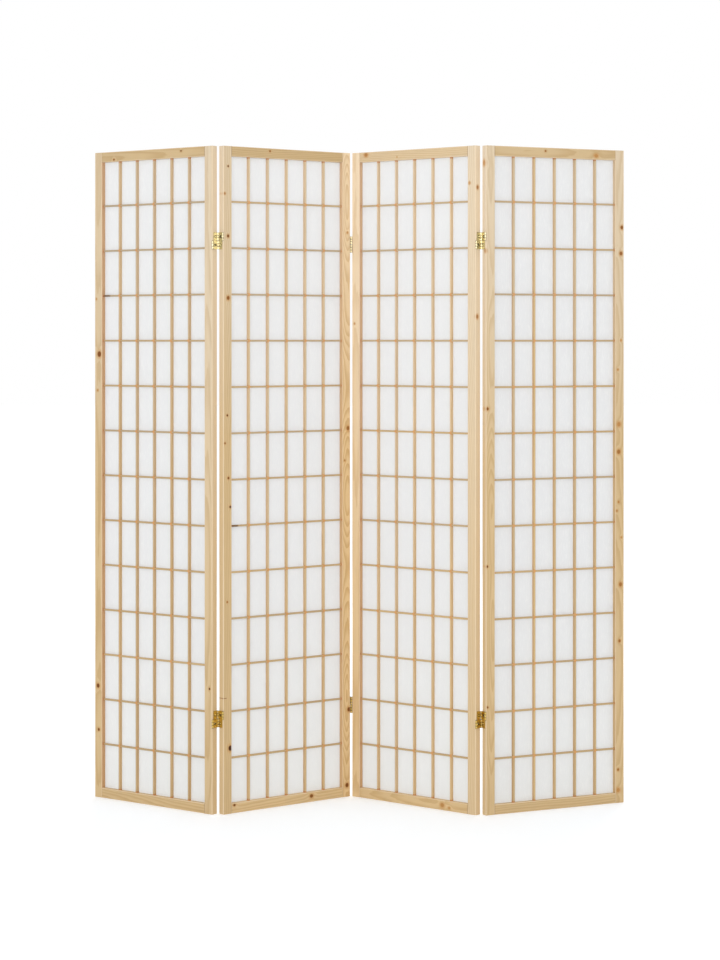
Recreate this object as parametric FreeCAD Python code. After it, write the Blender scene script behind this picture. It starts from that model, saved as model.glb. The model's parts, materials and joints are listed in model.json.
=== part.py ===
import FreeCAD, Part
import os

# A four-panel folding screen: pale softwood frames, a half-lapped lattice with white paper
# behind it, and two double-acting brass hinges at each fold. Millimetres, +Z up. The viewer
# stands in front, looking along +Y. Each panel is built flat, with its left edge on X = 0,
# its front face on Y = 0 and its foot on Z = 0, and is then turned and moved to its place.

# Driving dimensions
PANEL_HEIGHT = 1780.0
PANEL_WIDTH = 430.0
PANEL_THICKNESS = 20.0
HEADINGS = (-37.8, 38.6, -40.1, 26.1)  # degrees, how each panel stands, seen from above
FOLD_SIDES = ("back", "front", "back")  # the face that closes at each fold

# Frame
STILE_WIDTH = 27.0
RAIL_HEIGHT = 27.0
ARRIS = 0.8  # chamfer along the frame's long edges
TENON_LENGTH = 18.0
TENON_THICKNESS = 6.0
TENON_SHOULDER = 4.0  # wood left above and below the tenon
TENON_SETBACK = 6.0  # from the front face to the tenon
JOINERY_CLEARANCE = 0.1  # glue line round every tenon and lap
END_CLEARANCE = 0.5  # left past the end of a tenon

# Lattice and paper
CROSS_BAR_COUNT = 13
UPRIGHT_COUNT = 5
BAR_FACE = 5.0  # width of a bar, seen from the front
UPRIGHT_DEPTH = 8.0
CROSS_BAR_DEPTH = 4.0  # let in flush with the uprights' front
LATTICE_SETBACK = 4.5  # from the frame's front face to the bars
PAPER_THICKNESS = 0.4
PAPER_LAP = 5.0  # width of the ledge that the paper is glued to

# Hinges
HINGE_HEIGHT = 45.0
HINGE_FROM_END = 253.0  # hinge centre to the panel's top or foot
PANEL_GAP = 5.4  # between the edges of two panels that stand in line
AXIS_PROUD = 1.0  # pin axis outside the panel's face
KNUCKLE_CLEARANCE = 0.3  # knuckle to the edge of the panel
PIN_RADIUS = 1.2
PIN_CLEARANCE = 0.05  # running fit, on the radius
LEAF_THICKNESS = 1.2
LEAF_REACH = 15.0  # how far a leaf covers the edge, from the face its barrel is on
LEAF_EDGE_MARGIN = 1.0  # leaf to the far arris, beside the knuckle
LINK_THICKNESS = 1.0
LEVEL_GAP = 0.3  # between the upper and the lower half of a hinge
KNUCKLE_SHARE = 1.0 / 3.0  # share of a half's height that the bored knuckle takes

# Worked-out sizes
OPENING_WIDTH = PANEL_WIDTH - 2 * STILE_WIDTH
OPENING_HEIGHT = PANEL_HEIGHT - 2 * RAIL_HEIGHT
LEDGE = LATTICE_SETBACK + UPRIGHT_DEPTH  # the paper's front side, behind the front face
CELL_HEIGHT = (OPENING_HEIGHT - CROSS_BAR_COUNT * BAR_FACE) / (CROSS_BAR_COUNT + 1)
CELL_WIDTH = (OPENING_WIDTH - UPRIGHT_COUNT * BAR_FACE) / (UPRIGHT_COUNT + 1)
AXIS_FROM_MIDDLE = PANEL_THICKNESS / 2 + AXIS_PROUD
KNUCKLE_RADIUS = PANEL_GAP / 2 - KNUCKLE_CLEARANCE
HALF_HINGE = HINGE_HEIGHT / 2
HINGE_HEIGHTS = (HINGE_FROM_END, PANEL_HEIGHT - HINGE_FROM_END)

UP = FreeCAD.Vector(0, 0, 1)
ORIGIN = FreeCAD.Vector(0, 0, 0)
ALONG_X = FreeCAD.Vector(1, 0, 0)
ALONG_Y = FreeCAD.Vector(0, 1, 0)


def block(x0, x1, y0, y1, z0, z1):
    """A box between two corners."""
    return Part.makeBox(x1 - x0, y1 - y0, z1 - z0, FreeCAD.Vector(x0, y0, z0))


def upright_cylinder(x, y, radius, z0, z1):
    """A cylinder with its axis along Z."""
    return Part.makeCylinder(radius, z1 - z0, FreeCAD.Vector(x, y, z0), UP)


def cross_bar_foot(index):
    """Height of the underside of a cross bar, counted from the bottom."""
    return RAIL_HEIGHT + CELL_HEIGHT + index * (CELL_HEIGHT + BAR_FACE)


def upright_left(index):
    """Left side of an upright bar, counted from the left."""
    return STILE_WIDTH + CELL_WIDTH + index * (CELL_WIDTH + BAR_FACE)


def softened(shape, direction):
    """The shape with a chamfer along each of its four edges that run in one direction."""
    long_edges = []
    for edge in shape.Edges:
        start, end = edge.Vertexes[0].Point, edge.Vertexes[1].Point
        if (end - start).normalize().cross(direction).Length < 1e-6:
            long_edges.append(edge)
    return shape.makeChamfer(ARRIS, long_edges)


def tenon(x0, x1, z0, growth):
    """A rail's tenon, or the mortise for it when it is grown by the joinery clearance."""
    return block(
        x0,
        x1,
        TENON_SETBACK - growth,
        TENON_SETBACK + TENON_THICKNESS + growth,
        z0 + TENON_SHOULDER - growth,
        z0 + RAIL_HEIGHT - TENON_SHOULDER + growth,
    )


def left_stile():
    """The left stile, with a mortise for each rail and the rebate that the paper is glued in."""
    stile = softened(block(0, STILE_WIDTH, 0, PANEL_THICKNESS, 0, PANEL_HEIGHT), UP)
    cuts = []
    for rail_foot in (0, PANEL_HEIGHT - RAIL_HEIGHT):
        depth = TENON_LENGTH + END_CLEARANCE
        cuts.append(tenon(STILE_WIDTH - depth, STILE_WIDTH, rail_foot, JOINERY_CLEARANCE))
    cuts.append(
        block(
            STILE_WIDTH - PAPER_LAP,
            STILE_WIDTH,
            LEDGE,
            PANEL_THICKNESS,
            RAIL_HEIGHT - PAPER_LAP,
            PANEL_HEIGHT - RAIL_HEIGHT + PAPER_LAP,
        )
    )
    return stile.cut(cuts)


def right_stile():
    """The left stile's mirror image, at the panel's other edge."""
    middle = FreeCAD.Vector(PANEL_WIDTH / 2, 0, 0)
    return left_stile().mirror(middle, ALONG_X)


def bottom_rail():
    """The bottom rail, with a tenon at each end and the paper's rebate along its inner edge."""
    right = PANEL_WIDTH - STILE_WIDTH
    rail = softened(block(STILE_WIDTH, right, 0, PANEL_THICKNESS, 0, RAIL_HEIGHT), ALONG_X)
    rebate = block(
        STILE_WIDTH, right, LEDGE, PANEL_THICKNESS, RAIL_HEIGHT - PAPER_LAP, RAIL_HEIGHT
    )
    tenons = [
        tenon(STILE_WIDTH - TENON_LENGTH, STILE_WIDTH, 0, 0),
        tenon(right, right + TENON_LENGTH, 0, 0),
    ]
    return rail.cut(rebate).fuse(tenons).removeSplitter()


def top_rail():
    """The bottom rail's mirror image, at the panel's head."""
    middle = FreeCAD.Vector(0, 0, PANEL_HEIGHT / 2)
    return bottom_rail().mirror(middle, UP)


def upright_bars():
    """The upright lattice bars, notched at the front where each cross bar lies."""
    bars = []
    for index in range(UPRIGHT_COUNT):
        left = upright_left(index)
        bar = block(
            left,
            left + BAR_FACE,
            LATTICE_SETBACK,
            LEDGE,
            RAIL_HEIGHT,
            PANEL_HEIGHT - RAIL_HEIGHT,
        )
        notches = []
        for row in range(CROSS_BAR_COUNT):
            foot = cross_bar_foot(row)
            notches.append(
                block(
                    left,
                    left + BAR_FACE,
                    LATTICE_SETBACK,
                    LATTICE_SETBACK + CROSS_BAR_DEPTH + JOINERY_CLEARANCE,
                    foot - JOINERY_CLEARANCE,
                    foot + BAR_FACE + JOINERY_CLEARANCE,
                )
            )
        bars.append(bar.cut(notches))
    return Part.makeCompound(bars)


def cross_bars():
    """The cross bars, flush with the uprights' front and cut square between the stiles."""
    bars = []
    for index in range(CROSS_BAR_COUNT):
        foot = cross_bar_foot(index)
        bars.append(
            block(
                STILE_WIDTH,
                PANEL_WIDTH - STILE_WIDTH,
                LATTICE_SETBACK,
                LATTICE_SETBACK + CROSS_BAR_DEPTH,
                foot,
                foot + BAR_FACE,
            )
        )
    return Part.makeCompound(bars)


def paper():
    """The white paper, glued to the ledge all round and to the back of the uprights."""
    edge = PAPER_LAP - JOINERY_CLEARANCE
    return block(
        STILE_WIDTH - edge,
        PANEL_WIDTH - STILE_WIDTH + edge,
        LEDGE,
        LEDGE + PAPER_THICKNESS,
        RAIL_HEIGHT - edge,
        PANEL_HEIGHT - RAIL_HEIGHT + edge,
    )


# A hinge is drawn about the middle of the gap, with the panels in line: the left panel's edge
# at X = -PANEL_GAP / 2, the faces at Y = -PANEL_THICKNESS / 2 and + PANEL_THICKNESS / 2. Each
# leaf has a barrel in front at one level and at the back at the other. A link at each level
# joins the two leaves crosswise, so the fold can close towards either face.
BORED_KNUCKLE_HEIGHT = (HALF_HINGE - LEVEL_GAP / 2) * KNUCKLE_SHARE
BORED_KNUCKLE_FOOT = LEVEL_GAP / 2 + BORED_KNUCKLE_HEIGHT
BORED_KNUCKLE_TOP = BORED_KNUCKLE_FOOT + BORED_KNUCKLE_HEIGHT
LEAF_SIDE = -PANEL_GAP / 2
HALF_THICKNESS = PANEL_THICKNESS / 2


def hinge_leaf():
    """The left leaf at a fold that closes at the back: plain barrel in front, bored one behind."""
    outer = LEAF_SIDE + LEAF_THICKNESS
    reach = LEAF_REACH - HALF_THICKNESS
    lower = block(LEAF_SIDE, outer, -AXIS_FROM_MIDDLE, reach, -HALF_HINGE, -LEVEL_GAP / 2)
    upper = block(
        LEAF_SIDE, outer, -reach, HALF_THICKNESS - LEAF_EDGE_MARGIN, -LEVEL_GAP / 2, HALF_HINGE
    )
    barrel = upright_cylinder(
        0, -AXIS_FROM_MIDDLE, KNUCKLE_RADIUS, -HALF_HINGE, -LEVEL_GAP / 2
    )
    arm = block(LEAF_SIDE, outer, 0, AXIS_FROM_MIDDLE, BORED_KNUCKLE_FOOT, BORED_KNUCKLE_TOP)
    knuckle = upright_cylinder(
        0, AXIS_FROM_MIDDLE, KNUCKLE_RADIUS, BORED_KNUCKLE_FOOT, BORED_KNUCKLE_TOP
    )
    bore = upright_cylinder(
        0, AXIS_FROM_MIDDLE, PIN_RADIUS + PIN_CLEARANCE, BORED_KNUCKLE_FOOT, BORED_KNUCKLE_TOP
    )
    return lower.fuse([upper, barrel, arm, knuckle]).cut(bore).removeSplitter()


def hinge_link():
    """The link on the left leaf's front barrel; its own pin turns in the right leaf's knuckle."""
    half = LINK_THICKNESS / 2
    plate = block(-half, half, -AXIS_FROM_MIDDLE, AXIS_FROM_MIDDLE, -HALF_HINGE, -LEVEL_GAP / 2)
    seat = upright_cylinder(
        0, -AXIS_FROM_MIDDLE, KNUCKLE_RADIUS + PIN_CLEARANCE, -HALF_HINGE, -LEVEL_GAP / 2
    )
    notch = block(
        -half,
        half,
        AXIS_FROM_MIDDLE - KNUCKLE_RADIUS - KNUCKLE_CLEARANCE,
        AXIS_FROM_MIDDLE,
        -BORED_KNUCKLE_TOP - LEVEL_GAP / 2,
        -BORED_KNUCKLE_FOOT + LEVEL_GAP / 2,
    )
    pin = upright_cylinder(0, AXIS_FROM_MIDDLE, PIN_RADIUS, -HALF_HINGE, -LEVEL_GAP / 2)
    return plate.cut([seat, notch]).fuse(pin).removeSplitter()


def turned(shape, axis, degrees):
    """A copy turned about an axis through the origin."""
    copy = shape.copy()
    copy.rotate(ORIGIN, axis, degrees)
    return copy


def hinge_side(shape, side, fold_side):
    """A left piece of a fold that closes at the back, turned to serve another side or fold."""
    if fold_side == "front":
        shape = turned(shape, ALONG_X, 180)
    if side == "right":
        shape = turned(shape, ALONG_Y, 180)
    return shape


def hinge_pair(shape, panel_x):
    """The same hinge piece near the panel's foot and near its head, beside one panel edge."""
    copies = []
    for height in HINGE_HEIGHTS:
        copy = shape.copy()
        copy.translate(FreeCAD.Vector(panel_x, HALF_THICKNESS, height))
        copies.append(copy)
    return Part.makeCompound(copies)


def panel_places():
    """Where each panel stands: the fold axes join them edge to edge."""
    places = []
    corner = ORIGIN
    for index, heading in enumerate(HEADINGS):
        turn = FreeCAD.Rotation(UP, heading)
        if index > 0:
            closes_at_back = FOLD_SIDES[index - 1] == "back"
            side = AXIS_FROM_MIDDLE if closes_at_back else -AXIS_FROM_MIDDLE
            before = places[index - 1]
            axis_in_left = FreeCAD.Vector(PANEL_WIDTH + PANEL_GAP / 2, HALF_THICKNESS + side, 0)
            axis_in_right = FreeCAD.Vector(-PANEL_GAP / 2, HALF_THICKNESS + side, 0)
            corner = before.multVec(axis_in_left) - turn.multVec(axis_in_right)
        places.append(FreeCAD.Placement(corner, turn))
    return places


def build():
    """Every node of the screen, by name, standing about the middle of its own footprint."""
    frame_pieces = {
        "left_stile": left_stile(),
        "right_stile": right_stile(),
        "top_rail": top_rail(),
        "bottom_rail": bottom_rail(),
        "upright_bars": upright_bars(),
        "cross_bars": cross_bars(),
        "paper": paper(),
    }
    hinge_pieces = {"leaf": hinge_leaf(), "link": hinge_link()}
    places = panel_places()
    nodes = {}
    for index, place in enumerate(places):
        for name, shape in frame_pieces.items():
            copy = shape.copy()
            copy.Placement = place.multiply(copy.Placement)
            nodes["panel_%d_%s" % (index + 1, name)] = copy
    for index, fold_side in enumerate(FOLD_SIDES):
        fold = "hinge_%d_%d" % (index + 1, index + 2)
        for name, shape in hinge_pieces.items():
            for side, panel, edge in (
                ("left", index, PANEL_WIDTH + PANEL_GAP / 2),
                ("right", index + 1, -PANEL_GAP / 2),
            ):
                piece = hinge_pair(hinge_side(shape, side, fold_side), edge)
                piece.Placement = places[panel].multiply(piece.Placement)
                nodes["%s_%s_%s" % (fold, side, name)] = piece
    footprint = Part.makeCompound(list(nodes.values())).BoundBox
    shift = FreeCAD.Vector(-footprint.Center.x, -footprint.Center.y, 0)
    for shape in nodes.values():
        shape.translate(shift)
    return nodes, shift


def main():
    os.makedirs("parts", exist_ok=True)
    nodes, shift = build()
    for name, shape in nodes.items():
        shape.exportStep("parts/%s.step" % name)
    print("nodes", len(nodes), "solids", sum(len(shape.Solids) for shape in nodes.values()))
    print("shift", round(shift.x, 4), round(shift.y, 4))


main()
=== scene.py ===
import json
import math
import random

import bmesh
import bpy
from mathutils import Matrix, Vector


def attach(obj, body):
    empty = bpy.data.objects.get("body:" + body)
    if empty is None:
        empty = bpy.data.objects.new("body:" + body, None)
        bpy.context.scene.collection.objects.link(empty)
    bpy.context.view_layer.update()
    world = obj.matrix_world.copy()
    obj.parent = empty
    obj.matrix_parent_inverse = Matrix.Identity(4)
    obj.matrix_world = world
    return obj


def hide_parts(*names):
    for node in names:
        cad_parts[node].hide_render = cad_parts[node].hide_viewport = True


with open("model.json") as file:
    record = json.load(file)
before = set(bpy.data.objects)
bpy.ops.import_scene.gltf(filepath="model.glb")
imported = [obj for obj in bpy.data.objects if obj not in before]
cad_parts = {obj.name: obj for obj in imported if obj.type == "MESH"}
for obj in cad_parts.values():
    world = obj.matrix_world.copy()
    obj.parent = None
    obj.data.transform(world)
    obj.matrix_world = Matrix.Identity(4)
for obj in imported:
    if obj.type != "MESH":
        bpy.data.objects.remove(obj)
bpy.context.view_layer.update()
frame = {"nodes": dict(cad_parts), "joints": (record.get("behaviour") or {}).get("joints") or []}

# The screen, in metres, as the CAD has it.
PANEL_HEIGHT = 1.780
PANEL_WIDTH = 0.430
PANEL_THICKNESS = 0.020
STILE_WIDTH = 0.027
RAIL_HEIGHT = 0.027
BAR_FACE = 0.005
UPRIGHT_COUNT = 5
CROSS_BAR_COUNT = 13
HEADINGS = (-37.8, 38.6, -40.1, 26.1)  # degrees, panel 1 to 4
FOLDS_TO_BACK = (True, False, True)

# Its hinges.
PANEL_GAP = 0.0054
HINGE_FROM_END = 0.253
HALF_HINGE = 0.0225
LEVEL_GAP = 0.0003
KNUCKLE_HEIGHT = (HALF_HINGE - LEVEL_GAP / 2) / 3
AXIS_FROM_MIDDLE = 0.011
LEAF_THICKNESS = 0.0012
BARREL_RADIUS = 0.0024
PIN_RADIUS = 0.0012
LINK_THICKNESS = 0.001
LINK_KNUCKLE_RADIUS = 0.0023
LINK_PLAY = 0.00005
NOTCH_PLAY = 0.0003  # the link's notch to the barrel that turns in it
EDGE_ROUND = 0.00015
# Rounded ends, from the end's face inwards: share of the radius, and how far in.
KNUCKLE_END = ((0.93, 0.0), (0.98, 0.00007), (1.0, 0.0002))
PIN_END = ((0.55, 0.0), (0.9, 0.00022), (1.0, 0.0006))
# The screws and the links' access holes, from a hinge's middle.
SCREW_Y = 0.0025
SCREW_Z = 0.0112
ACCESS_RADIUS = 0.0034
HOLE_SEGMENTS = 32
PIN_SEGMENTS = 24
KNUCKLE_SEGMENTS = 36

OPENING_WIDTH = PANEL_WIDTH - 2 * STILE_WIDTH
OPENING_HEIGHT = PANEL_HEIGHT - 2 * RAIL_HEIGHT
UPRIGHT_PITCH = (OPENING_WIDTH - UPRIGHT_COUNT * BAR_FACE) / (UPRIGHT_COUNT + 1) + BAR_FACE
CROSS_BAR_PITCH = (OPENING_HEIGHT - CROSS_BAR_COUNT * BAR_FACE) / (CROSS_BAR_COUNT + 1) + BAR_FACE
FIRST_UPRIGHT = STILE_WIDTH + UPRIGHT_PITCH - BAR_FACE / 2  # its middle
FIRST_CROSS_BAR = RAIL_HEIGHT + CROSS_BAR_PITCH - BAR_FACE / 2
# The opening each way: its start, its length, the middle of the first strip, and their pitch.
OPENING_ACROSS = (STILE_WIDTH, OPENING_WIDTH, FIRST_UPRIGHT, UPRIGHT_PITCH)
OPENING_UP = (RAIL_HEIGHT, OPENING_HEIGHT, FIRST_CROSS_BAR, CROSS_BAR_PITCH)

# The camera that the photograph's edges give.
CAMERA_PLACE = (0.0062, -6.7320, 1.2659)
CAMERA_LENS = 92.99
SENSOR_HEIGHT = 36.0
CAMERA_SHIFT_Y = -0.1470

# Light. A strength of 1 shows as white.
WHITE = (1.0, 1.0, 1.0, 1.0)
WORLD_STRENGTH = 0.78
LAMPS = {"key": (-0.7, -6.4, 1.9), "back": (0.5, 4.8, 4.2)}
LAMP_ENERGY = 150.0
LAMP_SIZE = (3.6, 2.8)
LAMP_AIM = (0.0, 0.0, 1.0)
FLOOR_REACH = 40.0
FLOOR_TONE = (0.83, 0.86, 0.89, 1.0)
FLOOR_GLOW = (0.28, 0.38)  # near the screen's middle, and far from it
FLOOR_GLOW_REACH = (1.2, 4.0)  # the distances between which it changes

# Wood tones, as sRGB 0-255: early wood, late wood.
PALE_WOOD = ((232, 214, 187), (214, 189, 152))
WARM_WOOD = ((216, 187, 141), (191, 155, 104))
KNOT_AMBER = (184, 122, 50)
KNOT_DARK = (58, 16, 0)
KNOT_HALO = (194, 140, 76)
# Painted highlight along the frame's arrises.
ARRIS_HIGHLIGHT = (238, 217, 186)
BARK_DARK = (84, 46, 20)
SCRATCH_BROWN = (140, 84, 36)
SHADED_SIDE = (186, 134, 92)  # painted shade on the strips' and stiles' sides inside the opening
# Painted light: how much lighter the left and right edges are, in red, green and blue.
EDGE_PAINTED_LIGHT = ((1.14, 1.20, 1.33), (1.07, 1.08, 1.09))

# Fades: the distances in metres at which a tone begins to show and is full.
SIDE_FADE = (0.0005, 0.0002)
ARRIS_FADE = (0.0024, 0.0007)
ARRIS_STRENGTH = 1.1
SCRATCH_FADE = (0.0016, 0.0006)
SCRATCH_END = 0.001
SCRATCH_STRENGTH = 0.8
DARK_END_FADE = 0.006
DARK_END_STRENGTH = 0.7
# Marks laid on a colour, some of them painted shade: tone, the distances at which it begins and is
# full, and its strength there.
JOINT_LINE = ((120, 88, 56), 0.0011, 0.0003, 0.55)
STRIP_SIDE_SHADE = (SHADED_SIDE, 0.0004, 0.0001, 0.22)
ORANGE_BAR_END = ((190, 116, 62), 0.0055, 0.0010, 0.70)
ORANGE_CROSSING = ((216, 148, 78), 0.0055, 0.0025, 0.65)
GLUE_AND_UPRIGHT_SHADOW = ((214, 196, 168), 0.0031, 0.0022, 0.28)
PAPER_FOOT = ((238, 238, 237), 0.75, 0.0, 1.0)

# Light of the wood where no streak or patch lifts it, and what a streak and a patch add.
WOOD_LIGHT = 0.83
STREAK_LIGHT = 0.22
PATCH_LIGHT = 0.16
PATCH_WARMTH = 0.3
WARMTH_HEIGHTS = (0.15, PANEL_HEIGHT)  # between these the foot's warmth turns into the head's
WOOD_ROUGHNESS = 0.46
ROUGH_STREAKS = 0.16
SMOOTH_LATE_WOOD = -0.06
RAISED_LATE_WOOD = 0.5  # its height, where a streak's is 1
WOOD_SPECULAR = 0.12

# Grain: where the pith lies across and behind a piece, and close behind it in a flame.
PITH_ACROSS = (-0.03, 0.05)
PITH_DEPTH = (0.045, 0.09)
FLAME_PITH = (0.65 * STILE_WIDTH, 0.030)
UNEVEN_RINGS = 0.0022
RINGS_ROUND_KNOT = 0.0018  # how far a knot pushes them out
# Within one year's ring: where its late wood begins and is full, and where it ends.
LATE_WOOD_RISES = (0.25, 0.86)
LATE_WOOD_FALLS = (1.0, 0.93)

# A knot's halo, its heart and the grain's bend round it: where each begins and is full, in radii.
KNOT_REACHES = ((1.9, 0.8), (1.0, 0.6), (4.0, 0.0))
KNOT_SHORTENED = 0.86  # its length along the grain counts this much
HALO_STRENGTH = 0.6
# How strongly the palest heart shows, and what is added to it up to a darkness of DARK_KNOT.
HEART_STRENGTH = 0.45
DARK_HEART = 0.5
DARK_KNOT = 0.4

# Lattice: least light of an upright and of a cross bar, what a strip's own tone adds, and how the
# cross bars' light falls from low to high.
UPRIGHT_LIGHT = 0.82
CROSS_BAR_LIGHT = 0.68
STRIP_LIGHT = 0.14
STRIP_WARMTH = 0.5
CROSS_BAR_FALL = (0.2, 1.6, 1.05, 0.94)
STRIP_RINGS = (0.0021, 0.55)  # ring spacing, weight of the late wood
STRIP_APART = 3.0  # how far along the grain two strips' figures may be apart
STRIP_WARMTHS = (1.15, 0.6)  # at the foot and at the head
LATTICE_LIGHT = (0.94, 1.03, 1.06, 0.98)  # by panel
LATTICE_WARMTH = (0.0, -0.25, -0.3, 0.0)  # added to the uprights', by panel

# Brass: tone at the foot and at the head, the head's paler tone being a painted reflection of the
# lamp; darkening of its bloom, least roughness.
LEAF_BRASS = ((206, 174, 88), (214, 202, 162), 0.60, 0.20)
LINK_BRASS = ((212, 180, 98), (222, 210, 170), 0.66, 0.16)
SCREW_BRASS = ((250, 236, 186), (252, 244, 206), 0.80, 0.12)
BRASS_REFLECTION_HEIGHTS = (0.5, 1.3)  # between these the foot's tone turns into the head's
BLOOM_SCALE = 260.0
BLOOM_FADE = (0.46, 0.66)
BLOOM_STRENGTH = 0.75
ROLLING_MARKS = (3000.0, 3000.0, 260.0)  # how fine they are each way
ROUGH_MARKS = 0.14
LACQUER = 0.8
LACQUER_ROUGHNESS = 0.12
# Grime and painted shade in its recesses: from a seam, on the barrels, and round the screws.
RECESS_GRIME_AND_SHADE = (62, 42, 14)
GRIME_AND_SHADE_STRENGTH = 0.85
SEAM_FADE = (0.0013, 0.0003)
BARREL_FADE = (0.0030, 0.0018)
DARK_RING_WIDTH = 0.0009

PAPER_WHITE = (236, 236, 236)
PAPER_FIBRE = (245, 245, 243)
PAPER_TRANSLUCENCY = 0.58
PAPER_LIGHT = (0.99, 1.01, 1.0, 0.97)  # by panel
PAPER_CLOUDS = 0.012  # how much its light varies
PAPER_ROUGHNESS = 0.85
PAPER_SPECULAR = 0.25
FIBRE_STRENGTH = 0.35
SMOOTH_FIBRES = -0.1
FIBRE_SCALE = 60.0
FIBRE_FADE = (0.60, 0.70)
FIBRE_LAYERS = ((0.5, 9.0), (-0.9, 7.0), (1.9, 11.0))  # turn in radians, length to width

# How warm each frame piece is at its foot and head, or along a rail, and how light, by panel.
FRAME_TONES = {
    "left_stile": ((1.3, 0.45, 0.91), (1.6, 0.45, 0.90), (0.9, 0.15, 1.07), (1.6, 0.25, 0.91)),
    "right_stile": ((0.9, 0.15, 0.90), (1.6, 0.45, 1.09), (0.75, 0.1, 0.96), (1.7, 0.3, 0.90)),
    "top_rail": ((0.95, 0.95, 0.86), (1.05, 1.05, 0.85), (0.65, 0.65, 0.94), (0.9, 0.9, 0.87)),
    "bottom_rail": ((1.45, 1.45, 0.91), (1.4, 1.4, 0.99), (1.6, 1.6, 0.99), (1.6, 1.6, 0.89)),
}
# Knots that show in front: (along the grain, across it, radius, darkness), the lengths in
# millimetres from the piece's foot or left end.
KNOTS = {
    (1, "left_stile"): (
        (1224, 16.7, 8.4, 0.50),
        (308, 12.2, 6.4, 0.60),
        (187, 14.7, 4.2, 0.60),
        (1124, 10.8, 2.8, 0.15),
        (1376, 5.6, 2.6, 0.00),
    ),
    (1, "right_stile"): ((334, 18.0, 3.2, 1.00),),
    (1, "top_rail"): ((72, 5.5, 3.2, 0.50), (319, 18.3, 2.5, 1.00)),
    (2, "left_stile"): (
        (1726, 15.3, 2.8, 1.00),
        (1653, 4.3, 3.2, 0.25),
        (1540, 15.1, 4.3, 0.60),
        (1375, 15.5, 5.6, 0.42),
        (175, 22.6, 7.7, 1.00),
        (818, 22.2, 3.5, 1.00),
        (895, 16.3, 3.7, 0.60),
        (1062, 12.5, 3.1, 0.80),
        (988, 5.0, 2.9, 0.45),
        (565, 12.5, 2.8, 0.30),
    ),
    (2, "right_stile"): (
        (241, 22.5, 6.4, 0.45),
        (32, 15.7, 6.6, 0.50),
        (1019, 19.3, 6.2, 0.34),
        (1560, 17.0, 3.0, 0.05),
        (930, 7.8, 2.8, 0.15),
    ),
    (2, "top_rail"): ((154, 19.5, 3.0, 0.45),),
    (2, "bottom_rail"): ((295, 16.3, 6.0, 0.45), (36, 21.5, 4.0, 0.62)),
    (3, "left_stile"): ((1308, 8.8, 2.6, 0.00),),
    (3, "right_stile"): ((1681, 6.4, 3.6, 0.00),),
    (3, "bottom_rail"): ((317, 14.0, 6.4, 0.12), (341, 9.0, 3.4, 0.00)),
    (3, "top_rail"): ((50, 19.5, 6.0, 0.18), (160, 8.5, 1.8, 0.00)),
    (4, "left_stile"): (
        (287, 5.0, 3.0, 0.50),
        (1080, 4.8, 4.4, 0.42),
        (661, 4.2, 3.4, 0.60),
    ),
    (4, "right_stile"): (
        (1570, 20.5, 5.3, 0.42),
        (1499, 17.8, 5.6, 0.35),
        (442, 13.3, 4.4, 0.33),
        (91, 8.5, 3.8, 0.33),
        (958, 10.4, 6.4, 0.28),
        (596, 16.5, 6.0, 0.28),
        (1033, 11.2, 6.4, 0.12),
        (821, 10.4, 3.2, 0.20),
        (797, 4.5, 3.2, 0.20),
        (35, 9.0, 5.8, 0.10),
        (1182, 7.8, 3.2, 0.12),
        (724, 18.8, 2.8, 0.10),
        (1262, 18.0, 3.0, 0.05),
    ),
    (4, "top_rail"): ((183, 17.8, 2.7, 0.42), (342, 10.1, 6.0, 0.08)),
}
# Strips with a bark-dark left end, by panel: (which one, from the foot, end of the dark part).
DARK_STRIPS = {1: (10, 0.056), 2: (5, 0.054)}
# Knots in the edge beside a hinge: (along the grain, behind the front face, radius, darkness),
# the lengths in millimetres.
EDGE_KNOTS = {
    (3, "right_stile"): ((1669, 8.5, 5.1, 0.28), (1325, 6.9, 5.6, 0.26)),
    (4, "left_stile"): ((1734, 10.0, 7.0, 0.06), (1500, 4.0, 5.0, 0.12)),
}
# Stiles with a flame grain: (ring spacing, weight of the late wood, how far the rings wander).
FLAMES = {(2, "right_stile"): (0.0032, 0.7, 0.026), (4, "left_stile"): (0.0024, 0.5, 0.014)}
PLAIN_GRAIN = (0.0027, 0.5, 0.0)
# How strongly painted shade darkens and reddens a stile's side towards the paper, where it shows in
# front.
INNER_SHADE = {
    (1, "left_stile"): 0.62,
    (2, "right_stile"): 0.45,
    (3, "left_stile"): 0.62,
    (4, "right_stile"): 0.15,
}
PLAIN_INNER_SHADE = 0.4
# A brown scratch across part of one stile: height, and how far in from the stile's edge.
SCRATCH = {(2, "left_stile"): (0.309, 0.011)}


def srgb(colour):
    """A colour written 0-255 as the eye sees it, as the shader wants it."""
    linear = []
    for channel in colour:
        share = channel / 255
        low = share <= 0.04045
        linear.append(share / 12.92 if low else ((share + 0.055) / 1.055) ** 2.4)
    return (*linear, 1.0)


def panel_place(panel):
    """Where a panel stands: its heading, and the axis of the fold before it or, for the first
    panel, after it."""
    fold = max(panel - 1, 1)
    name = "fold_%d_%d" % (fold, fold + 1)
    axis = next(Vector(joint["pos_m"]) for joint in frame["joints"] if joint["name"] == name)
    across = -PANEL_GAP / 2 if panel > fold else PANEL_WIDTH + PANEL_GAP / 2
    side = AXIS_FROM_MIDDLE if FOLDS_TO_BACK[fold - 1] else -AXIS_FROM_MIDDLE
    turn = Matrix.Rotation(math.radians(HEADINGS[panel - 1]), 4, "Z")
    axis_in_panel = Vector((across, PANEL_THICKNESS / 2 + side, axis.z))
    return Matrix.Translation(axis - turn @ axis_in_panel) @ turn


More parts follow.
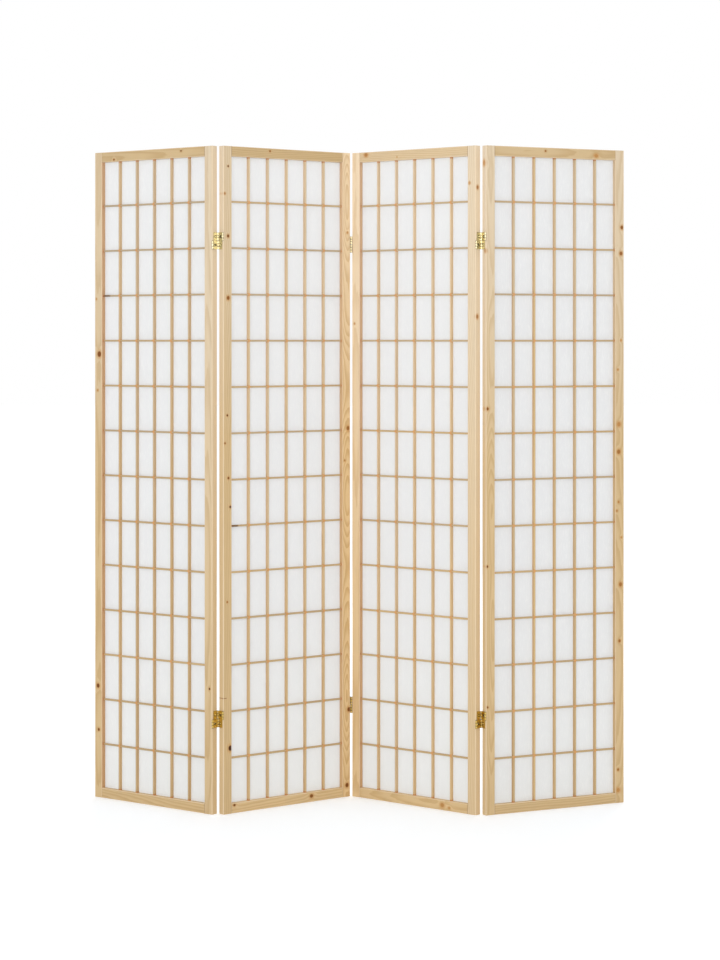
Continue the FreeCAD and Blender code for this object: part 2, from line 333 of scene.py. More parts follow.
class Graph:
    """The nodes of one material, built up by short calls that return sockets."""

    def __init__(self, name):
        self.material = bpy.data.materials.new(name)
        self.material.use_nodes = True
        self.tree = self.material.node_tree
        self.shader = self.tree.nodes["Principled BSDF"]

    def node(self, kind, **settings):
        made = self.tree.nodes.new("ShaderNode" + kind)
        for name, value in settings.items():
            setattr(made, name, value)
        return made

    def feed(self, socket, value):
        if isinstance(value, bpy.types.NodeSocket):
            self.tree.links.new(value, socket)
        else:
            socket.default_value = value

    def surface(self, name, value):
        """Sets one of the shader's own sockets, by its name."""
        self.feed(self.shader.inputs[name], value)

    def math(self, operation, first, second=0.0, third=0.0, clamp=False):
        made = self.node("Math", operation=operation, use_clamp=clamp)
        for socket, value in zip(made.inputs, (first, second, third)):
            self.feed(socket, value)
        return made.outputs[0]

    def squares(self, *values):
        """The sum of some coordinates' squares."""
        total = 0.0
        for value in values:
            total = self.math("MULTIPLY_ADD", value, value, total)
        return total

    def span(self, value, start, end, low=0.0, high=1.0):
        """A smooth step from low at start to high at end."""
        made = self.node("MapRange", interpolation_type="SMOOTHSTEP")
        for name, item in (
            ("Value", value),
            ("From Min", start),
            ("From Max", end),
            ("To Min", low),
            ("To Max", high),
        ):
            self.feed(made.inputs[name], item)
        return made.outputs["Result"]

    def mix(self, factor, first, second, blend="MIX"):
        made = self.node("Mix", data_type="RGBA", blend_type=blend, clamp_factor=True)
        colours = [s for s in made.inputs if s.type == "RGBA"]
        self.feed(made.inputs[0], factor)
        self.feed(colours[0], first)
        self.feed(colours[1], second)
        return next(s for s in made.outputs if s.type == "RGBA")

    def vector(self, x=0.0, y=0.0, z=0.0):
        made = self.node("CombineXYZ")
        for socket, value in zip(made.inputs, (x, y, z)):
            self.feed(socket, value)
        return made.outputs[0]

    def scaled(self, point, scale, turn=0.0):
        """A point in a pattern's own scale each way, turned about its z axis."""
        made = self.node("Mapping", vector_type="POINT")
        self.feed(made.inputs["Vector"], point)
        made.inputs["Rotation"].default_value = (0.0, 0.0, turn)
        made.inputs["Scale"].default_value = scale
        return made.outputs[0]

    def noise(self, point, scale=1.0, detail=2.0, roughness=0.5):
        made = self.node("TexNoise")
        self.feed(made.inputs["Vector"], point)
        for name, value in (("Scale", scale), ("Detail", detail), ("Roughness", roughness)):
            made.inputs[name].default_value = value
        return made.outputs[0]

    def grain_noise(self, across, depth, along, rate, offset=0.0, **settings):
        """Noise that changes along the grain at its own rate: the lower, the longer its streaks."""
        run = self.math("MULTIPLY_ADD", along, rate, offset)
        return self.noise(self.vector(across, depth, run), **settings)

    def drift(self, along, rate, seed, reach):
        """A slow wander along a line, up to reach either way."""
        made = self.node("TexNoise", noise_dimensions="1D")
        self.feed(made.inputs["W"], self.math("MULTIPLY_ADD", along, rate, seed))
        made.inputs["Scale"].default_value = 1.0
        made.inputs["Detail"].default_value = 1.0
        centred = self.math("SUBTRACT", made.outputs[0], 0.5)
        return self.math("MULTIPLY", centred, reach * 2)

    def bump(self, height, strength, distance):
        made = self.node("Bump")
        made.inputs["Strength"].default_value = strength
        made.inputs["Distance"].default_value = distance
        self.feed(made.inputs["Height"], height)
        self.surface("Normal", made.outputs[0])

    def panel_point(self, panel):
        """x across the panel, y into it from its front face, z up: it folds with the panel."""
        place = panel_place(panel)
        local = self.node("Mapping", vector_type="TEXTURE")
        self.feed(local.inputs["Vector"], self.node("TexCoord").outputs["Object"])
        local.inputs["Location"].default_value = place.translation
        local.inputs["Rotation"].default_value = place.to_euler()
        split = self.node("SeparateXYZ")
        self.feed(split.inputs[0], local.outputs[0])
        return split.outputs


def to_edge(graph, value, width):
    """How far a coordinate is from the nearer of two edges, 0 and width."""
    return graph.math("MINIMUM", value, graph.math("SUBTRACT", width, value))


def to_nearest(graph, value, first, pitch):
    """How far a coordinate is from the nearest of a row of lines, one at first and on by pitch."""
    cell = graph.math("DIVIDE", graph.math("SUBTRACT", value, first), pitch)
    away = graph.math("ABSOLUTE", graph.math("SUBTRACT", cell, graph.math("ROUND", cell)))
    return graph.math("MULTIPLY", away, pitch)


def stain(graph, colour, distance, tone, begins, full, strength):
    """A colour with a tone on it, which begins at one distance and is full at a smaller one."""
    return graph.mix(graph.span(distance, begins, full, 0.0, strength), colour, srgb(tone))


def brighten(graph, colour, amount):
    """A colour times one number, or times one number for each channel."""
    channels = amount if isinstance(amount, tuple) else (amount, amount, amount)
    return graph.mix(1.0, colour, (*channels, 1.0), "MULTIPLY")


def shade(graph, colour, light):
    """A colour times a light that varies over the surface."""
    return graph.mix(1.0, colour, graph.vector(light, light, light), "MULTIPLY")


def in_metres(knot):
    *lengths, darkness = knot
    return (*(length / 1000 for length in lengths), darkness)


def knots(graph, along, across, depth, piece):
    """(marks, bend): each knot's halo, heart, tone and strength, and the grain's bend round it."""
    marks, bend = [], 0.0
    outer = graph.math("SUBTRACT", STILE_WIDTH, across) if piece[1] == "right_stile" else across
    found = [(across, 0.0, knot) for knot in KNOTS.get(piece, ())]
    found += [(depth, outer, knot) for knot in EDGE_KNOTS.get(piece, ())]
    for other, aside, knot in found:
        knot_along, knot_other, radius, darkness = in_metres(knot)
        run = graph.math("MULTIPLY", graph.math("SUBTRACT", along, knot_along), KNOT_SHORTENED)
        rise = graph.math("SUBTRACT", other, knot_other)
        distance = graph.math("SQRT", graph.squares(rise, run, aside))
        halo, heart, pull = (
            graph.span(distance, radius * begins, radius * full) for begins, full in KNOT_REACHES
        )
        tone = [a + (d - a) * darkness for a, d in zip(KNOT_AMBER, KNOT_DARK)]
        strength = HEART_STRENGTH + DARK_HEART * min(1.0, darkness / DARK_KNOT)
        marks.append((halo, heart, tone, strength))
        bend = graph.math("ADD", bend, pull)
    return marks, bend


def stain_knots(graph, colour, marks):
    for halo, heart, tone, strength in marks:
        colour = graph.mix(graph.math("MULTIPLY", halo, HALO_STRENGTH), colour, srgb(KNOT_HALO))
        colour = graph.mix(graph.math("MULTIPLY", heart, strength), colour, srgb(tone))
    return colour


def scratch(graph, colour, along, across, piece):
    """A brown line across the grain, for the piece that has one."""
    if piece not in SCRATCH:
        return colour
    height, reach = SCRATCH[piece]
    off = graph.math("ABSOLUTE", graph.math("SUBTRACT", along, height))
    line = graph.span(off, *SCRATCH_FADE)
    end = graph.span(across, reach, reach - SCRATCH_END, high=SCRATCH_STRENGTH)
    return graph.mix(graph.math("MULTIPLY", line, end), colour, srgb(SCRATCH_BROWN))


def pine_rings(graph, along, across, depth, seed, spacing, bend=0.0, wander=0.0):
    """The late wood of the year rings, 0 to 1. The pith is outside the piece; if it wanders
    close behind the face, the rings run out there in flames."""
    draw = random.Random(seed)
    pith_across = draw.uniform(*PITH_ACROSS)
    pith_depth = draw.choice((-1, 1)) * draw.uniform(*PITH_DEPTH)
    if wander:
        pith_across, pith_depth = FLAME_PITH
        depth = graph.math("ADD", graph.drift(along, rate=2.1, seed=seed + 3, reach=wander), depth)
    sideways = graph.math("ADD", graph.drift(along, rate=1.3, seed=seed, reach=0.010), across)
    sideways = graph.math("SUBTRACT", sideways, pith_across)
    inwards = graph.math("ADD", graph.drift(along, rate=0.9, seed=seed + 40, reach=0.016), depth)
    inwards = graph.math("SUBTRACT", inwards, pith_depth)
    radius = graph.math("SQRT", graph.squares(inwards, sideways))
    uneven = graph.grain_noise(across, depth, along, rate=0.1, scale=90.0)
    radius = graph.math("MULTIPLY_ADD", uneven, UNEVEN_RINGS, radius)
    radius = graph.math("MULTIPLY_ADD", bend, RINGS_ROUND_KNOT, radius)
    phase = graph.math("FRACT", graph.math("DIVIDE", radius, spacing))
    rising = graph.span(phase, *LATE_WOOD_RISES)
    falling = graph.span(phase, *LATE_WOOD_FALLS)
    return graph.math("MULTIPLY", rising, falling)


def fibres(graph, along, across, depth, seed):
    """Fine streaks along the grain, about 0.5 in the middle."""
    return graph.grain_noise(
        across, depth, along, rate=0.012, offset=seed, scale=900.0, detail=3.0, roughness=0.6
    )


def wood_colour(graph, warmth, late, streaks, patches):
    """Pale or warm pine, darker in its late wood, streaked and slightly patchy."""
    early_wood = graph.mix(warmth, srgb(PALE_WOOD[0]), srgb(WARM_WOOD[0]))
    late_wood = graph.mix(warmth, srgb(PALE_WOOD[1]), srgb(WARM_WOOD[1]))
    colour = graph.mix(late, early_wood, late_wood)
    light = graph.math("MULTIPLY_ADD", streaks, STREAK_LIGHT, WOOD_LIGHT)
    light = graph.math("MULTIPLY_ADD", patches, PATCH_LIGHT, light)
    return shade(graph, colour, light)


def finish_wood(graph, colour, late, streaks):
    """Planed, unpolished wood: rougher in its streaks, smoother and raised in its late wood."""
    rough = graph.math("MULTIPLY_ADD", streaks, ROUGH_STREAKS, WOOD_ROUGHNESS)
    raised = graph.math("MULTIPLY_ADD", late, RAISED_LATE_WOOD, streaks)
    graph.surface("Base Color", colour)
    graph.surface("Roughness", graph.math("MULTIPLY_ADD", late, SMOOTH_LATE_WOOD, rough))
    graph.surface("Specular IOR Level", WOOD_SPECULAR)
    graph.bump(raised, strength=0.35, distance=0.00012)
    return graph.material


def frame_wood(panel, member):
    """Planed pine for one stile or rail, with its own grain, knots and joints, a painted highlight
    along its arrises and, on a stile, painted light and shade on its sides.
    """
    graph = Graph("pine_%d_%s" % (panel, member))
    x, depth, z = graph.panel_point(panel)
    upright = "stile" in member
    width = STILE_WIDTH if upright else RAIL_HEIGHT
    start = {"right_stile": PANEL_WIDTH - STILE_WIDTH, "top_rail": PANEL_HEIGHT - RAIL_HEIGHT}
    along, across = (z, x) if upright else (x, z)
    across = graph.math("SUBTRACT", across, start.get(member, 0.0))
    seed = 10 * panel + list(FRAME_TONES).index(member)
    marks, bend = knots(graph, along, across, depth, (panel, member))
    spacing, weight, wander = FLAMES.get((panel, member), PLAIN_GRAIN)
    late = pine_rings(graph, along, across, depth, seed, spacing, bend, wander)
    late = graph.math("MULTIPLY", late, weight)
    streaks = fibres(graph, along, across, depth, seed)
    patches = graph.grain_noise(across, depth, along, rate=0.12, scale=30.0)
    foot, head, light = FRAME_TONES[member][panel - 1]
    warmth = graph.span(z, *WARMTH_HEIGHTS, foot, head)
    warmth = graph.math("SUBTRACT", warmth, PATCH_WARMTH / 2)
    warmth = graph.math("MULTIPLY_ADD", patches, PATCH_WARMTH, warmth)
    colour = brighten(graph, wood_colour(graph, warmth, late, streaks, patches), light)
    colour = stain_knots(graph, colour, marks)
    colour = scratch(graph, colour, along, across, (panel, member))
    # Painted highlight on the arrises.
    colour = arris_highlight(graph, colour, across, width, depth, streaks)
    if upright:
        colour = stile_sides(graph, colour, across, (panel, member))
    else:
        colour = joint_lines(graph, colour, x)
    return finish_wood(graph, colour, late, streaks)


def arris_highlight(graph, colour, across, width, depth, streaks):
    """A painted highlight along the long arrises, broken up by the streaks."""
    from_face = to_edge(graph, depth, PANEL_THICKNESS)
    from_arris = graph.math("ADD", to_edge(graph, across, width), from_face)
    highlit = graph.math("MULTIPLY", graph.span(from_arris, *ARRIS_FADE), streaks)
    highlit = graph.math("MULTIPLY", highlit, ARRIS_STRENGTH, clamp=True)
    return graph.mix(highlit, colour, srgb(ARRIS_HIGHLIGHT))


def stile_sides(graph, colour, across, piece):
    """Painted light on a stile's outer edge, which is paler, and painted shade on its side towards
    the paper, which is redder.
    """
    from_right = graph.math("SUBTRACT", STILE_WIDTH, across)
    on_right = piece[1] == "right_stile"
    outer, inner = (from_right, across) if on_right else (across, from_right)
    # Painted light: the outer edge is made lighter.
    paler = brighten(graph, colour, EDGE_PAINTED_LIGHT[on_right])
    colour = graph.mix(graph.span(outer, *SIDE_FADE), colour, paler)
    # Painted shade on the stile's side towards the paper.
    strength = INNER_SHADE.get(piece, PLAIN_INNER_SHADE)
    return stain(graph, colour, inner, SHADED_SIDE, *SIDE_FADE, strength)


def joint_lines(graph, colour, x):
    """The dark hairline where a rail butts against each stile."""
    from_stile = to_edge(graph, graph.math("SUBTRACT", x, STILE_WIDTH), OPENING_WIDTH)
    return stain(graph, colour, from_stile, *JOINT_LINE)


def strip_tone(graph, number, panel, upright):
    """A number from 0 to 1 that each strip of a lattice has for itself."""
    pick = graph.node("TexWhiteNoise", noise_dimensions="1D")
    seed = 7.31 * panel + (0.5 if upright else 0.0)
    graph.feed(pick.inputs["W"], graph.math("ADD", number, seed))
    return pick.outputs["Value"]


def strip_light(graph, own, z, panel, upright):
    """How light each strip is; the cross bars are a little darker towards the head."""
    least = (UPRIGHT_LIGHT if upright else CROSS_BAR_LIGHT) * LATTICE_LIGHT[panel - 1]
    light = graph.math("MULTIPLY_ADD", own, STRIP_LIGHT, least)
    if upright:
        return light
    return graph.math("MULTIPLY", light, graph.span(z, *CROSS_BAR_FALL))


def dark_strip_end(graph, colour, number, x, panel):
    """The bark-dark left end of one cross bar, in the panels that have one."""
    if panel not in DARK_STRIPS:
        return colour
    bar, end = DARK_STRIPS[panel]
    this_bar = graph.math("COMPARE", number, float(bar), 0.1)
    dark = graph.span(x, end, end - DARK_END_FADE, high=DARK_END_STRENGTH)
    return graph.mix(graph.math("MULTIPLY", dark, this_bar), colour, srgb(BARK_DARK))


def lattice_wood(panel, member):
    """Thin pine strips, each its own tone, with painted shade on their sides, darker where they are
    let in and where they end.
    """
    graph = Graph("strip_%d_%s" % (panel, member))
    x, depth, z = graph.panel_point(panel)
    upright = member == "upright_bars"
    along, across = (z, x) if upright else (x, z)
    way_along, way_across = OPENING_UP, OPENING_ACROSS
    if not upright:
        way_along, way_across = way_across, way_along
    start, length, other_first, other_pitch = way_along
    _start, _length, first, pitch = way_across
    cell = graph.math("DIVIDE", graph.math("SUBTRACT", across, first - pitch / 2), pitch)
    number = graph.math("FLOOR", cell)
    own = strip_tone(graph, number, panel, upright)
    seed = 60 + 2 * panel + upright
    shifted = graph.math("MULTIPLY_ADD", own, STRIP_APART, along)
    spacing, weight = STRIP_RINGS
    late = pine_rings(graph, shifted, across, depth, seed, spacing)
    late = graph.math("MULTIPLY", late, weight)
    streaks = fibres(graph, shifted, across, depth, seed)
    patches = graph.grain_noise(number, depth, shifted, rate=6.0)
    warmth = graph.span(z, *WARMTH_HEIGHTS, *STRIP_WARMTHS)
    warmer = (LATTICE_WARMTH[panel - 1] if upright else 0.0) - STRIP_WARMTH / 2
    warmer = graph.math("MULTIPLY_ADD", own, STRIP_WARMTH, warmer)
    warmth = graph.math("ADD", warmth, warmer, clamp=True)
    colour = wood_colour(graph, warmth, late, streaks, patches)
    colour = shade(graph, colour, strip_light(graph, own, z, panel, upright))
    from_middle = to_nearest(graph, across, first, pitch)
    from_side = graph.math("SUBTRACT", BAR_FACE / 2, from_middle)
    # Painted shade on each strip's sides.
    colour = stain(graph, colour, from_side, *STRIP_SIDE_SHADE)
    # An orange tint where the strips cross and where they end.
    from_crossing = to_nearest(graph, along, other_first, other_pitch)
    colour = stain(graph, colour, from_crossing, *ORANGE_CROSSING)
    if not upright:
        colour = dark_strip_end(graph, colour, number, x, panel)
    from_end = to_edge(graph, graph.math("SUBTRACT", along, start), length)
    colour = stain(graph, colour, from_end, *ORANGE_BAR_END)
    return finish_wood(graph, colour, late, streaks)


def paper_fibres(graph, flat):
    """Long thin fibres, strewn over the sheet in three directions."""
    fibre = 0.0
    for turn, stretch in FIBRE_LAYERS:
        turned = graph.scaled(flat, (stretch * FIBRE_SCALE, FIBRE_SCALE, 1.0), turn)
        strand = graph.span(graph.noise(turned, roughness=0.4), *FIBRE_FADE)
        fibre = graph.math("MAXIMUM", fibre, strand)
    return fibre


def paper_material(panel):
    """White fibrous paper, a little warmer towards the foot, with the uprights' glue and their
    painted shadow showing along them.
    """
    graph = Graph("paper_%d" % panel)
    x, _depth, z = graph.panel_point(panel)
    flat = graph.vector(x, z, 0.37 * panel)
    cloudy = graph.noise(flat, scale=22.0, detail=3.0, roughness=0.6)
    fibre = paper_fibres(graph, flat)
    colour = stain(graph, srgb(PAPER_WHITE), z, *PAPER_FOOT)
    light = PAPER_LIGHT[panel - 1] - PAPER_CLOUDS / 2
    colour = shade(graph, colour, graph.math("MULTIPLY_ADD", cloudy, PAPER_CLOUDS, light))
    colour = graph.mix(graph.math("MULTIPLY", fibre, FIBRE_STRENGTH), colour, srgb(PAPER_FIBRE))
    from_upright = to_nearest(graph, x, FIRST_UPRIGHT, UPRIGHT_PITCH)
    # Glue and a painted shadow of the uprights along the paper.
    colour = stain(graph, colour, from_upright, *GLUE_AND_UPRIGHT_SHADOW)
    rough = graph.math("MULTIPLY_ADD", fibre, SMOOTH_FIBRES, PAPER_ROUGHNESS)
    graph.surface("Base Color", colour)
    graph.surface("Roughness", rough)
    graph.surface("Specular IOR Level", PAPER_SPECULAR)
    graph.bump(graph.math("ADD", fibre, cloudy), strength=0.2, distance=0.00006)
    through = graph.node("BsdfTranslucent")
    graph.feed(through.inputs["Color"], colour)
    both = graph.node("MixShader")
    both.inputs[0].default_value = PAPER_TRANSLUCENCY
    graph.feed(both.inputs[1], graph.shader.outputs[0])
    graph.feed(both.inputs[2], through.outputs[0])
    graph.feed(graph.tree.nodes["Material Output"].inputs["Surface"], both.outputs[0])
    return graph.material


def brass_material(name, panel, foot_tone, head_tone, bloom_light, roughness, side=None):
    """Lacquered brass with rolling marks, a darker bloom in patches, a painted reflection of the
    lamp that makes it paler towards the head, and grime with painted shade in its recesses.
    """
    graph = Graph(name)
    place = graph.node("TexCoord").outputs["Object"]
    marks = graph.noise(graph.scaled(place, ROLLING_MARKS), roughness=0.6)
    bloom = graph.noise(place, scale=BLOOM_SCALE, roughness=0.55)
    _x, _depth, z = graph.panel_point(panel)
    # Painted reflection: the brass turns paler towards the head, where the lamp shows in it.
    tone = graph.mix(graph.span(z, *BRASS_REFLECTION_HEIGHTS), srgb(foot_tone), srgb(head_tone))
    tarnish = brighten(graph, tone, bloom_light)
    colour = graph.mix(graph.span(bloom, *BLOOM_FADE, high=BLOOM_STRENGTH), tone, tarnish)
    if side:
        colour = recess_grime_and_shade(graph, panel, side, colour)
    graph.surface("Base Color", colour)
    graph.surface("Metallic", 1.0)
    graph.surface("Roughness", graph.math("MULTIPLY_ADD", marks, ROUGH_MARKS, roughness))
    graph.surface("Coat Weight", LACQUER)
    graph.surface("Coat Roughness", LACQUER_ROUGHNESS)
    graph.bump(marks, strength=0.25, distance=0.00005)
    return graph.material


def recess_grime_and_shade(graph, panel, side, colour):
    """Grime and painted shade: dark seams between a barrel's knuckles, and a dark ring round each
    screw.
    """
    _x, depth, z = graph.panel_point(panel)
    upper = graph.math("GREATER_THAN", z, PANEL_HEIGHT / 2)
    middle = graph.math("MULTIPLY_ADD", upper, PANEL_HEIGHT - 2 * HINGE_FROM_END, HINGE_FROM_END)
    up = graph.math("SUBTRACT", z, middle)
    from_seam = to_nearest(graph, graph.math("ABSOLUTE", up), LEVEL_GAP / 2, KNUCKLE_HEIGHT)
    on_barrel = graph.span(to_edge(graph, depth, PANEL_THICKNESS), *BARREL_FADE)
    seam = graph.math("MULTIPLY", graph.span(from_seam, *SEAM_FADE), on_barrel)
    # The two screws are opposite each other about the hinge's middle.
    across = graph.math("SUBTRACT", depth, PANEL_THICKNESS / 2)
    lean = SCREW_Z if side == "left" else -SCREW_Z
    along_pair = graph.math("MULTIPLY_ADD", across, SCREW_Y, graph.math("MULTIPLY", up, lean))
    square = graph.math("ADD", graph.squares(up, across), SCREW_Y**2 + SCREW_Z**2)
    square = graph.math("MULTIPLY_ADD", graph.math("ABSOLUTE", along_pair), -2.0, square)
    distance = graph.math("SQRT", graph.math("MAXIMUM", square, 0.0))
    ring = graph.span(distance, ACCESS_RADIUS + DARK_RING_WIDTH, ACCESS_RADIUS)
    # Grime and painted shade together in the recesses.
    grime_and_shade = graph.math("MULTIPLY", graph.math("MAXIMUM", seam, ring), GRIME_AND_SHADE_STRENGTH)
    return graph.mix(grime_and_shade, colour, srgb(RECESS_GRIME_AND_SHADE))


def wear(node, material):
    node.data.materials.clear()
    node.data.materials.append(material)
    for polygon in node.data.polygons:
        polygon.material_index = 0


def dress_panels():
    nodes = frame["nodes"]
    for panel in range(1, len(HEADINGS) + 1):
        for member in FRAME_TONES:
            wear(nodes["panel_%d_%s" % (panel, member)], frame_wood(panel, member))
        for member in ("upright_bars", "cross_bars"):
            wear(nodes["panel_%d_%s" % (panel, member)], lattice_wood(panel, member))
        wear(nodes["panel_%d_paper" % panel], paper_material(panel))


def circle(radius, height, segments):
    """Points round the z axis, one for each segment."""
    for step in range(segments):
        angle = 2 * math.pi * step / segments
        yield Vector((radius * math.cos(angle), radius * math.sin(angle), height))


def screw_head(mesh, place):
    """A raised countersunk head with a cross recess, its axis along the local z."""
    radius, proud, rim, sunk = 0.0023, 0.00045, 0.00006, 0.0003
    arm_width, arm_reach, recess = 0.00042, 0.00125, 0.0004
    ring_count, segments = 12, 48
    rings = []
    for ring in range(1, ring_count + 1):
        share = ring / ring_count
        points = list(circle(radius * share, proud * (1 - share**2) + rim, segments))
        for point in points:
            near, far = sorted((abs(point.x), abs(point.y)))
            if near < arm_width and far < arm_reach:
                point.z -= recess
        rings.append([mesh.verts.new(place @ point) for point in points])
    crown = mesh.verts.new(place @ Vector((0, 0, proud - recess)))
    rings.append([mesh.verts.new(place @ point) for point in circle(radius, -sunk, segments)])
    floor = mesh.verts.new(place @ Vector((0, 0, -sunk)))
    for step in range(segments):
        after = (step + 1) % segments
        mesh.faces.new((crown, rings[0][step], rings[0][after]))
        for inner, outer in zip(rings, rings[1:]):
            mesh.faces.new((inner[step], outer[step], outer[after], inner[after]))
        mesh.faces.new((floor, rings[-1][after], rings[-1][step]))


def lathe(mesh, place, profile, segments):
    """A closed turned body about the local z, from (radius, height) points, foot first."""
    rows = []
    for radius, height in profile:
        rows.append([mesh.verts.new(place @ point) for point in circle(radius, height, segments)])
    mesh.faces.new(rows[0])
    mesh.faces.new(rows[-1])
    for lower, upper in zip(rows, rows[1:]):
        for step in range(segments):
            after = (step + 1) % segments
            mesh.faces.new((lower[step], lower[after], upper[after], upper[step]))


def rounded_rod(radius, foot, head, end):
    """The profile of a rod whose two ends are rounded alike."""
    profile = [(radius * share, foot + inwards) for share, inwards in end]
    return profile + [(radius * share, head - inwards) for share, inwards in reversed(end)]


def hinge_name(fold, side):
    """How the names of one side of a fold's hinges begin."""
    return "hinge_%d_%d_%s_" % (fold + 1, fold + 2, side)


def carrier(fold, side):
    """The panel that one side of a fold's hinges is screwed to."""
    return fold + 1 if side == "left" else fold + 2


def hinge_matrices(fold, side):
    """Where one side's hinges are. Their shapes are drawn for the left of a fold to the back."""
    left = side == "left"
    middle_x = PANEL_WIDTH + PANEL_GAP / 2 if left else -PANEL_GAP / 2
    turn = Matrix.Identity(4) if left else Matrix.Rotation(math.pi, 4, "Y")
    if not FOLDS_TO_BACK[fold]:
        turn = turn @ Matrix.Rotation(math.pi, 4, "X")
    for height in (HINGE_FROM_END, PANEL_HEIGHT - HINGE_FROM_END):
        spot = Matrix.Translation((middle_x, PANEL_THICKNESS / 2, height))
        yield panel_place(carrier(fold, side)) @ spot @ turn


def add_piece(name, mesh, material, fold, side):
    """A finished bmesh as a brass piece that rides on its side's panel."""
    bmesh.ops.recalc_face_normals(mesh, faces=mesh.faces)
    data = bpy.data.meshes.new(name)
    mesh.to_mesh(data)
    mesh.free()
    data.materials.append(material)
    piece = bpy.data.objects.new(name, data)
    bpy.context.scene.collection.objects.link(piece)
    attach(piece, "panel_%d" % carrier(fold, side))
    return piece


def hinge_screws(fold, side, material):
    """The screws of one side's two hinges: one in each leaf's lower half, one in its upper."""
    draw = random.Random(500 + 10 * fold + (side == "left"))
    mesh = bmesh.new()
    for place in hinge_matrices(fold, side):
        for half in (-1, 1):
            spot = Vector((-PANEL_GAP / 2 + LEAF_THICKNESS, half * SCREW_Y, half * SCREW_Z))
            face_out = Matrix.Rotation(math.pi / 2, 4, "Y")
            spin = Matrix.Rotation(draw.uniform(0, math.pi / 2), 4, "Z")
            screw_head(mesh, place @ Matrix.Translation(spot) @ face_out @ spin)
    add_piece(hinge_name(fold, side) + "screws", mesh, material, fold, side)


def link_outline():
    """The plate seen flat: x across the panel's thickness, y up, all below the hinge's middle."""
    near = -AXIS_FROM_MIDDLE + BARREL_RADIUS + LINK_PLAY
    far = AXIS_FROM_MIDDLE
    notch = AXIS_FROM_MIDDLE - BARREL_RADIUS - NOTCH_PLAY
    foot, head = -HALF_HINGE, -LEVEL_GAP / 2
    notch_foot = -2 * KNUCKLE_HEIGHT - LEVEL_GAP
    notch_head = -KNUCKLE_HEIGHT
    return (
        (near, foot),
        (far, foot),
        (far, notch_foot),
        (notch, notch_foot),
        (notch, notch_head),
        (far, notch_head),
        (far, head),
        (near, head),
    )


def link_plate():
    """The link's stamped plate, with rounded edges and a hole that lets the screwdriver through."""
    hole = []
    for step in range(HOLE_SEGMENTS):
        angle = -2 * math.pi * step / HOLE_SEGMENTS
        x = -SCREW_Y + ACCESS_RADIUS * math.cos(angle)
        hole.append((x, -SCREW_Z + ACCESS_RADIUS * math.sin(angle)))
    curve = bpy.data.curves.new("link_outline", "CURVE")
    curve.dimensions = "2D"
    curve.fill_mode = "BOTH"
    curve.extrude = LINK_THICKNESS / 2 - EDGE_ROUND
    curve.bevel_depth = EDGE_ROUND
    curve.bevel_resolution = 0
    curve.offset = -EDGE_ROUND
    for points in (link_outline(), hole):
        spline = curve.splines.new("POLY")
        spline.points.add(len(points) - 1)
        for point, (x, y) in zip(spline.points, points):
            point.co = (x, y, 0.0, 1.0)
        spline.use_cyclic_u = True
    holder = bpy.data.objects.new("link_outline", curve)
    flat = bpy.data.meshes.new_from_object(holder)
    bpy.data.objects.remove(holder)
    for polygon in flat.polygons:
        polygon.use_smooth = abs(polygon.normal.z) < 0.9
    return flat


def hinge_links(fold, side, plate, material):
    """The crosswise links of one side's two hinges, each with the pin that it turns on."""
    mesh = bmesh.new()
    # The plate is drawn flat: its x runs across the panel's thickness and its y upwards.
    upright = Matrix(((0, 0, 1, 0), (1, 0, 0, 0), (0, 1, 0, 0), (0, 0, 0, 1)))
    pin = rounded_rod(PIN_RADIUS, -HALF_HINGE, -LEVEL_GAP / 2, PIN_END)
    for place in hinge_matrices(fold, side):
        start = len(mesh.verts)
        mesh.from_mesh(plate)
        mesh.verts.ensure_lookup_table()
        bmesh.ops.transform(mesh, matrix=place @ upright, verts=mesh.verts[start:])
        axis = place @ Matrix.Translation((0, AXIS_FROM_MIDDLE, 0))
        lathe(mesh, axis, pin, PIN_SEGMENTS)
        for foot in (-HALF_HINGE, -LEVEL_GAP / 2 - KNUCKLE_HEIGHT + LINK_PLAY):
            head = foot + KNUCKLE_HEIGHT - 2 * LINK_PLAY
            knuckle = rounded_rod(LINK_KNUCKLE_RADIUS, foot, head, KNUCKLE_END)
            lathe(mesh, axis, knuckle, KNUCKLE_SEGMENTS)
    bmesh.ops.remove_doubles(mesh, verts=mesh.verts, dist=1e-6)
    name = hinge_name(fold, side)
    piece = add_piece(name + "link_plate", mesh, material, fold, side)
    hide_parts(name + "link")


def dress_hinges():
    plate = link_plate()
    for fold in range(len(FOLDS_TO_BACK)):
        for side in ("left", "right"):
            name, panel = hinge_name(fold, side), carrier(fold, side)
            leaf = brass_material(name + "leaf", panel, *LEAF_BRASS, side)
            wear(frame["nodes"][name + "leaf"], leaf)
            link = brass_material(name + "link", panel, *LINK_BRASS, side)
            hinge_links(fold, side, plate, link)
            hinge_screws(fold, side, brass_material(name + "screws", panel, *SCREW_BRASS))


def background_rays(tree):
    """1 for the rays that show the background, which are the camera's and those that metal or
    glass sends on, and 0 for the rest."""
    path = tree.nodes.new("ShaderNodeLightPath")
    shown = path.outputs["Is Camera Ray"]
    for name in ("Is Glossy Ray", "Is Transmission Ray"):
        either = tree.nodes.new("ShaderNodeMath")
        either.operation = "MAXIMUM"
        tree.links.new(shown, either.inputs[0])
        tree.links.new(path.outputs[name], either.inputs[1])
        shown = either.outputs[0]
    return shown


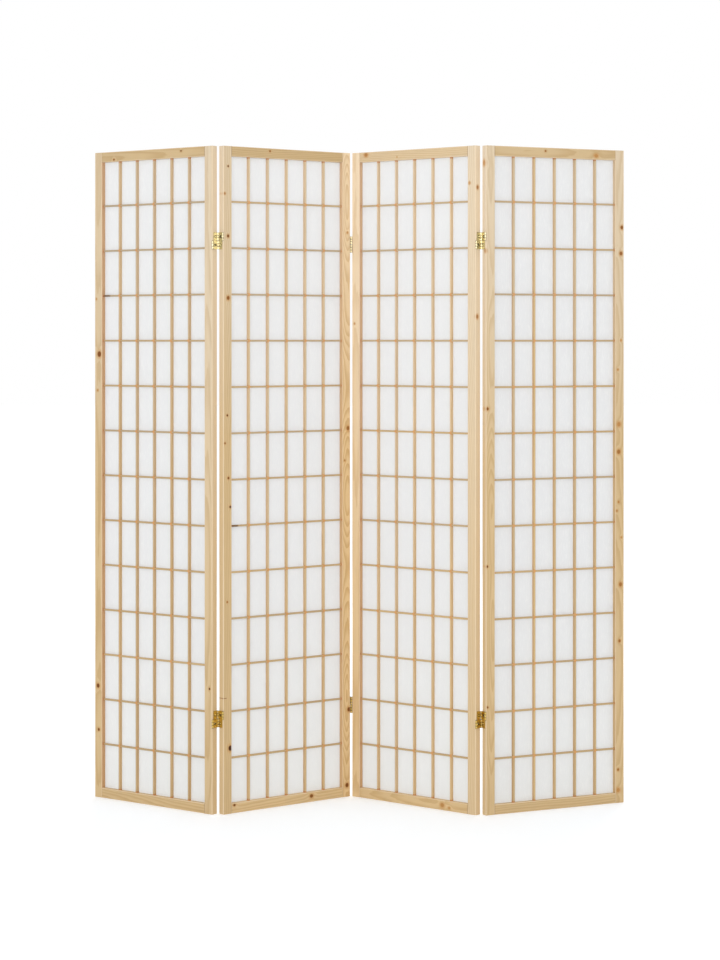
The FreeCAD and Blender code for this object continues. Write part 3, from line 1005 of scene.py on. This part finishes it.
def stage_floor():
    """A white floor that shows only the object's soft shadow."""
    mesh = bpy.data.meshes.new("floor")
    sides = ((-1, -1), (1, -1), (1, 1), (-1, 1))
    corners = [(x * FLOOR_REACH, y * FLOOR_REACH, 0) for x, y in sides]
    mesh.from_pydata(corners, [], [(0, 1, 2, 3)])
    floor = bpy.data.objects.new("floor", mesh)
    bpy.context.scene.collection.objects.link(floor)
    graph = Graph("floor_white")
    graph.surface("Base Color", FLOOR_TONE)
    graph.surface("Roughness", 0.9)
    graph.surface("Specular IOR Level", 0.1)
    length = graph.node("VectorMath", operation="LENGTH")
    graph.feed(length.inputs[0], graph.node("TexCoord").outputs["Object"])
    glow = graph.span(length.outputs["Value"], *FLOOR_GLOW_REACH, *FLOOR_GLOW)
    graph.surface("Emission Color", WHITE)
    graph.surface("Emission Strength", graph.math("MULTIPLY", background_rays(graph.tree), glow))
    mesh.materials.append(graph.material)


def light_studio():
    """Even white light from all round, a large soft lamp in front on the left, one high behind."""
    world = bpy.data.worlds.new("studio")
    bpy.context.scene.world = world
    world.use_nodes = True
    tree = world.node_tree
    light = tree.nodes["Background"]
    white = tree.nodes.new("ShaderNodeBackground")
    for background, strength in ((light, WORLD_STRENGTH), (white, 1.0)):
        background.inputs["Color"].default_value = WHITE
        background.inputs["Strength"].default_value = strength
    choice = tree.nodes.new("ShaderNodeMixShader")
    tree.links.new(background_rays(tree), choice.inputs[0])
    tree.links.new(light.outputs[0], choice.inputs[1])
    tree.links.new(white.outputs[0], choice.inputs[2])
    tree.links.new(choice.outputs[0], tree.nodes["World Output"].inputs["Surface"])
    for name, place in LAMPS.items():
        soft_lamp(name, place)


def soft_lamp(name, place):
    lamp = bpy.data.lights.new(name, "AREA")
    lamp.shape = "RECTANGLE"
    lamp.size, lamp.size_y = LAMP_SIZE
    lamp.energy = LAMP_ENERGY
    holder = bpy.data.objects.new(name, lamp)
    holder.location = place
    aim = Vector(LAMP_AIM) - holder.location
    holder.rotation_euler = aim.to_track_quat("-Z", "Y").to_euler()
    bpy.context.scene.collection.objects.link(holder)


def stand_camera():
    camera = bpy.data.objects.new("camera", bpy.data.cameras.new("camera"))
    camera.data.sensor_fit = "VERTICAL"
    camera.data.sensor_height = SENSOR_HEIGHT
    camera.data.lens = CAMERA_LENS
    camera.data.shift_y = CAMERA_SHIFT_Y
    camera.location = CAMERA_PLACE
    camera.rotation_euler = (math.radians(90), 0.0, 0.0)
    bpy.context.scene.collection.objects.link(camera)
    bpy.context.scene.camera = camera


dress_panels()
dress_hinges()
stage_floor()
light_studio()
stand_camera()
bpy.context.scene.view_settings.view_transform = "Standard"
